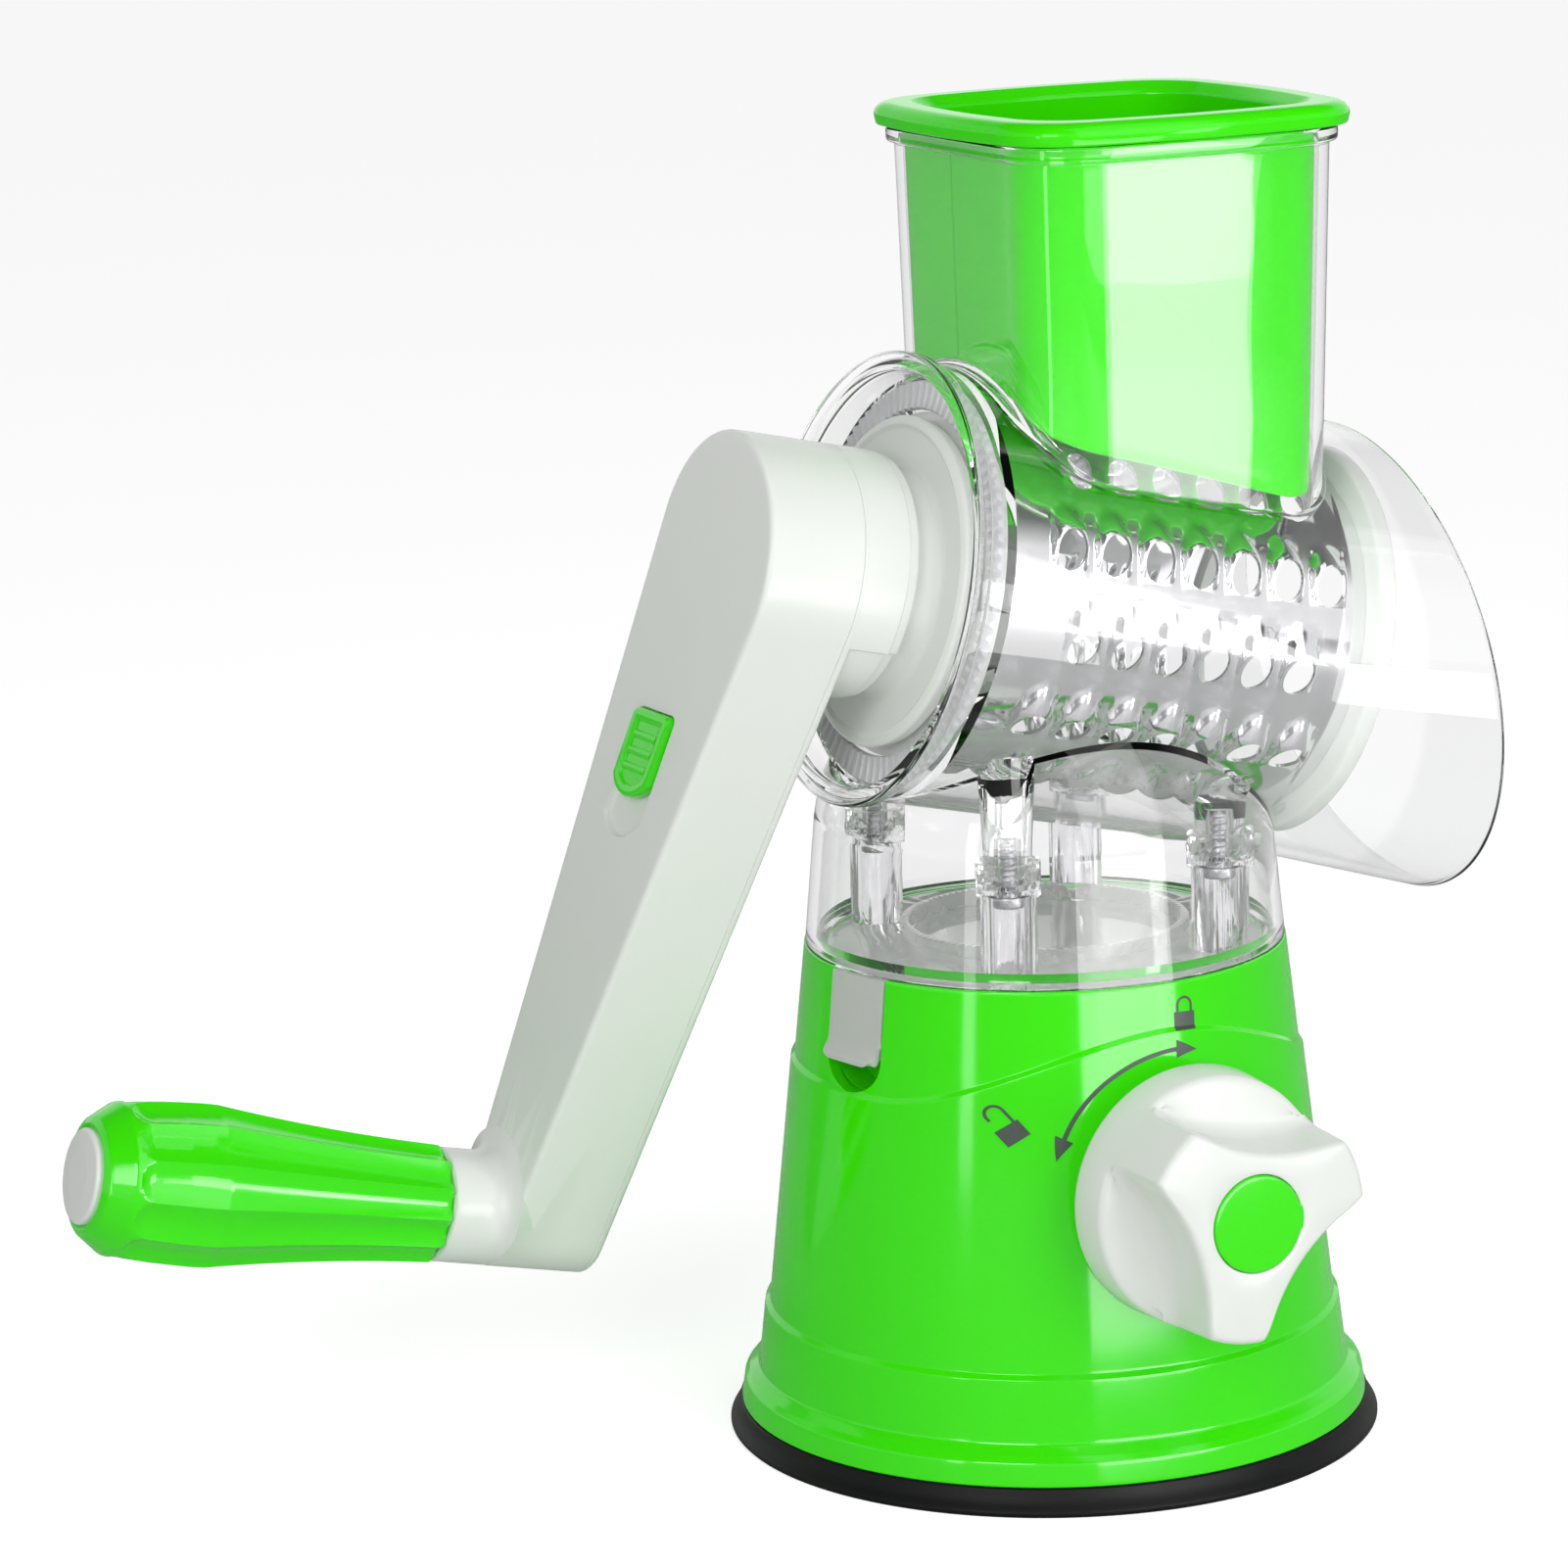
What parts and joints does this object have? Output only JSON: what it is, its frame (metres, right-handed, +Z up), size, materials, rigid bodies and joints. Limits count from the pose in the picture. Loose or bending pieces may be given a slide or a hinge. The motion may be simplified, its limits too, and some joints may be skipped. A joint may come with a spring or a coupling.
{
  "type": "rotary drum shredder",
  "caption": "Hand-cranked rotary drum shredder: suction base with lock knob, clear hopper housing, food pusher, steel grating drum and cranked handle.",
  "frame": {"origin": "centre of the rubber foot's flat underside", "axes": "+Z up, +X towards the food outlet, -Y towards the lock knob"},
  "size_m": [0.2719, 0.1473, 0.2623],
  "materials": {
    "green_shell": "gloss",
    "green_pusher": "gloss",
    "white_plastic": "gloss",
    "clear_plastic": "clear",
    "drum_steel": "polished",
    "screw_steel": "zinc plated",
    "foot_rubber": "matt",
    "frame_plastic": "matt"
  },
  "bodies": {
    "base": {"suction_pad": "foot_rubber", "base_shell": "green_shell", "lift_frame": "frame_plastic", "frame_screws": "screw_steel", "latch_pin": "screw_steel"},
    "housing": {"clear_body": "clear_plastic", "floor_plate": "clear_plastic", "housing_screws": "screw_steel"},
    "lift": {"lift_yoke": "frame_plastic", "stem_foot": "frame_plastic", "lift_spring": "screw_steel"},
    "lock": {"lock_knob": "white_plastic", "cam_shaft": "frame_plastic", "knob_screw": "screw_steel", "knob_cap": "green_shell"},
    "latch": {"body_latch": "white_plastic", "latch_spring": "screw_steel"},
    "rotor": {"grater_drum": "drum_steel", "drum_drive_cap": "white_plastic", "drum_outlet_ring": "white_plastic", "bearing_disc": "white_plastic", "crank_arm": "white_plastic", "crank_cover": "white_plastic", "arm_screws": "screw_steel", "handle_spindle": "screw_steel", "spindle_washer": "screw_steel", "spindle_screw": "screw_steel"},
    "bolt": {"slide_button": "green_shell", "latch_bolt": "screw_steel"},
    "grip": {"handle_grip": "green_shell", "grip_cap": "white_plastic"},
    "pusher": {"food_pusher": "green_pusher"}
  },
  "joints": [
    {"name": "housing_lift", "type": "slide", "parent": "base", "child": "housing", "axis": [0, 0, 1], "range_m": [0, 0.025]},
    {"name": "lock_turn", "type": "hinge", "parent": "base", "child": "lock", "pos_m": [0, -0.07, 0.06], "axis": [0, 1, 0], "range_deg": [0, 90]},
    {"name": "stem_lift", "type": "slide", "parent": "base", "child": "lift", "axis": [0, 0, 1], "range_m": [0, 0.0045], "deforming": ["lift_spring"]},
    {"name": "latch_press", "type": "hinge", "parent": "base", "child": "latch", "pos_m": [-0.04362, -0.00927, 0.09], "axis": [0.2079, -0.9781, 0], "range_deg": [0, 8], "stiffness_Nm_per_rad": 0.05, "springref_deg": -5.73},
    {"name": "drum_turn", "type": "hinge", "parent": "housing", "child": "rotor", "pos_m": [0, 0, 0.1655], "axis": [0.9744, 0, -0.225], "continuous": true},
    {"name": "button_slide", "type": "slide", "parent": "rotor", "child": "bolt", "axis": [-0.2127, 0.3256, -0.9213], "range_m": [0, 0.008], "stiffness_N_per_m": 300, "springref_m": -0.004},
    {"name": "grip_turn", "type": "hinge", "parent": "rotor", "child": "grip", "pos_m": [-0.12881, 0.04802, 0.05211], "axis": [0.9744, 0, -0.225], "continuous": true},
    {"name": "pusher_slide", "type": "slide", "parent": "housing", "child": "pusher", "axis": [0, 0, 1], "range_m": [0, 0.075]}
  ],
  "couplings": [
    {"joint": "stem_lift", "follows": "lock_turn", "m_per_rad": 0.002864}
  ]
}
